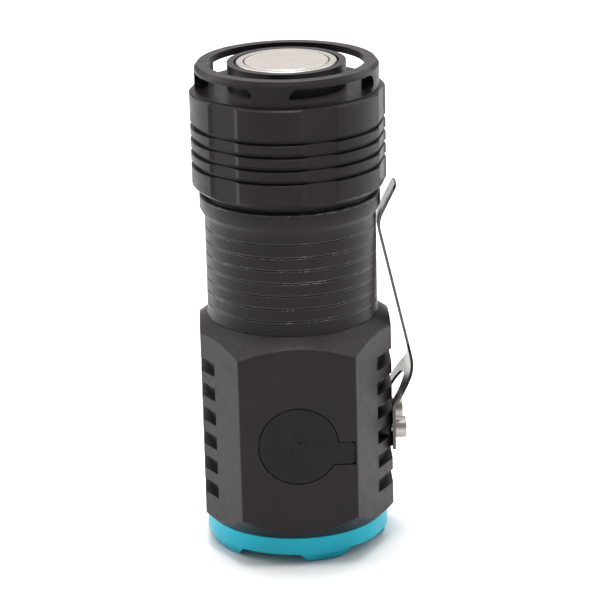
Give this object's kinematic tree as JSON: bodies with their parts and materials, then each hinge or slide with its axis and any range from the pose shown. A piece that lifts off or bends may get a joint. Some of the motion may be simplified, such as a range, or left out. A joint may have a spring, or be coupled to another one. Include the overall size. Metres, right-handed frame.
{
  "type": "keychain flashlight",
  "caption": "Pocket flashlight with finned hexagonal head, toothed bezel, covered charging port, steel clip and a screw-on magnetic tail cap.",
  "frame": {"origin": "on the flashlight's axis, in the plane of the bezel's lugs that it stands on", "axes": "+Z along the axis from the bezel to the magnetic tail, -Y out of the charging port, +X towards the pocket clip"},
  "size_m": [0.0379, 0.0357, 0.0872],
  "materials": {
    "teal_anodised": "satin teal anodising",
    "seal_rubber": "black seal rubber",
    "lens_glass": "clear toughened glass",
    "mirror_coat": "vacuum-metallised reflector",
    "white_plastic": "moulded white spacer",
    "led_phosphor": "yellow phosphor dome on white ceramic",
    "board_mask": "green solder mask",
    "wire_jacket": "silicone wire jacket",
    "black_anodised": "satin type III black anodising, finely blasted on the cones",
    "chip_plastic": "moulded black epoxy",
    "nickel_steel": "nickel plated",
    "port_plastic": "moulded black insulator",
    "cover_rubber": "matt silicone rubber",
    "bare_aluminium": "machined",
    "gold_spring": "gold plated spring wire",
    "cell_core": "wound electrode foils",
    "cell_wrap": "shrink sleeve",
    "magnet_nickel": "nickel plated, lightly scuffed",
    "black_steel": "black oxide spring steel, semi-gloss"
  },
  "bodies": {
    "light": {"bezel_ring": "teal_anodised", "lens_gasket": "seal_rubber", "lens": "lens_glass", "reflector": "mirror_coat", "centring_gasket": "white_plastic", "led_emitter": "led_phosphor", "led_board": "board_mask", "led_wires": "wire_jacket", "head_shell": "black_anodised", "driver_board": "board_mask", "driver_components": "chip_plastic", "usb_shell": "nickel_steel", "usb_tongue": "port_plastic", "port_cover_anchor": "cover_rubber", "switch_board": "board_mask", "tact_switch": "chip_plastic", "switch_seal": "seal_rubber", "switch_bezel": "teal_anodised", "contact_board": "board_mask", "contact_retainer": "bare_aluminium", "positive_spring": "gold_spring", "battery_tube": "black_anodised", "tube_orings": "seal_rubber", "battery_can": "nickel_steel", "battery_core": "cell_core", "battery_wrap": "cell_wrap", "clip_base": "black_steel", "clip_screws": "nickel_steel"},
    "cover": {"port_cover": "cover_rubber"},
    "button": {"switch_button": "black_anodised"},
    "clip": {"clip_arm": "black_steel"},
    "tail_contact": {"tail_spring": "gold_spring"},
    "tail": {"tail_cap": "black_anodised", "tail_board": "board_mask", "tail_retainer": "bare_aluminium", "magnet_cup": "nickel_steel", "magnet": "magnet_nickel"}
  },
  "joints": [
    {"name": "tail_lift", "type": "slide", "parent": "light", "child": "tail_contact", "axis": [0, 0, 1], "range_m": [0, 0.005]},
    {"name": "tail_twist", "type": "hinge", "parent": "tail_contact", "child": "tail", "pos_m": [0, 0, 0.075], "axis": [0, 0, 1], "range_deg": [0, 1800]},
    {"name": "port_cover_hinge", "type": "hinge", "parent": "light", "child": "cover", "pos_m": [0.0085, -0.0175, 0.02105], "axis": [0, 0, 1], "range_deg": [0, 110], "stiffness_Nm_per_rad": 0.002},
    {"name": "switch_press", "type": "slide", "parent": "light", "child": "button", "axis": [0, -1, 0], "range_m": [0, 0.0005], "stiffness_N_per_m": 4000},
    {"name": "clip_flex", "type": "hinge", "parent": "light", "child": "clip", "pos_m": [0.0173, 0, 0.02469], "axis": [0, 1, 0], "range_deg": [0, 5], "stiffness_Nm_per_rad": 3}
  ],
  "couplings": [
    {"joint": "tail_twist", "follows": "tail_lift", "rad_per_m": 6283.2}
  ]
}
